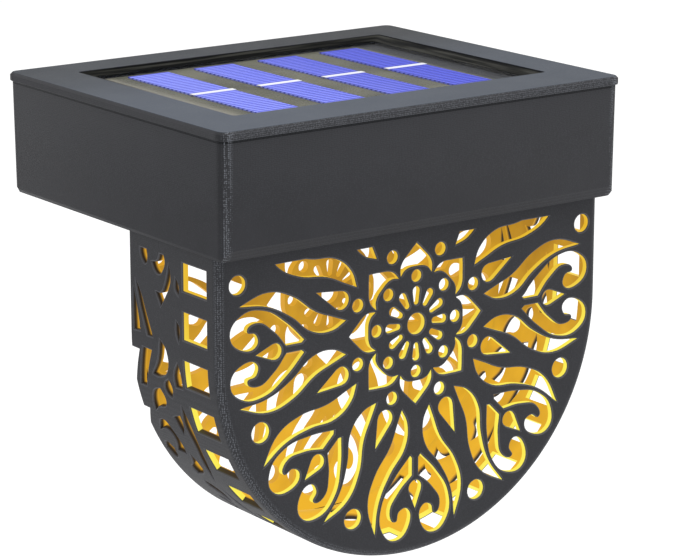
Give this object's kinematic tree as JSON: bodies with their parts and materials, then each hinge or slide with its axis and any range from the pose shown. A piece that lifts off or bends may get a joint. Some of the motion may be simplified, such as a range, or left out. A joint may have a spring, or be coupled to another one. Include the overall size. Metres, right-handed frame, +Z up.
{
  "type": "solar fence light",
  "caption": "Wall-held solar light: a drafted box with a solar panel on top and a D-shaped pierced lampshade with a mandala front hanging below.",
  "frame": {"origin": "middle of the two screw seats, on the flat rear pad that meets the fence", "axes": "+Y out of the rear pad into the fence, +Z up towards the solar panel, +X right when facing the pierced front"},
  "size_m": [0.1, 0.08, 0.095],
  "materials": {
    "charcoal_plastic": "fine moulded grain",
    "black_rubber": "matt",
    "foam_tape": "matt",
    "panel_backing": "semi-matt laminate",
    "cell_blue": "printed grid under a clear coat",
    "bus_ribbon": "tinned",
    "clear_cover": "clear",
    "lens_clear": "frosted",
    "screw_steel": "plated",
    "circuit_board": "solder mask",
    "chip_black": "moulded",
    "led_amber": "warm, lit",
    "cell_sleeve": "shrink sleeve",
    "contact_nickel": "nickel plated",
    "switch_black": "moulded",
    "button_rubber": "matt"
  },
  "bodies": {
    "light_body": {"battery": "cell_sleeve", "battery_contact_minus": "contact_nickel", "battery_contact_plus": "contact_nickel", "battery_holder": "switch_black", "bezel": "charcoal_plastic", "bezel_screws": "screw_steel", "cell_ribbons": "bus_ribbon", "control_board": "circuit_board", "control_board_screws": "screw_steel", "control_chips": "chip_black", "housing": "charcoal_plastic", "housing_seal": "black_rubber", "lampshade": "charcoal_plastic", "led_board": "circuit_board", "led_board_screws": "screw_steel", "leds": "led_amber", "light_window": "lens_clear", "panel_board": "panel_backing", "panel_gasket": "black_rubber", "panel_tape": "foam_tape", "panel_window": "clear_cover", "rear_panel": "charcoal_plastic", "rear_panel_screws": "screw_steel", "shade_screws": "screw_steel", "solar_cell_1": "cell_blue", "solar_cell_2": "cell_blue", "solar_cell_3": "cell_blue", "solar_cell_4": "cell_blue", "switch_body": "switch_black"},
    "power_button": {"button_cap": "button_rubber", "switch_plunger": "switch_black"}
  },
  "joints": [
    {"name": "button_press", "type": "slide", "parent": "light_body", "child": "power_button", "axis": [0, 0, 1], "range_m": [0, 0.0015], "stiffness_N_per_m": 300}
  ]
}
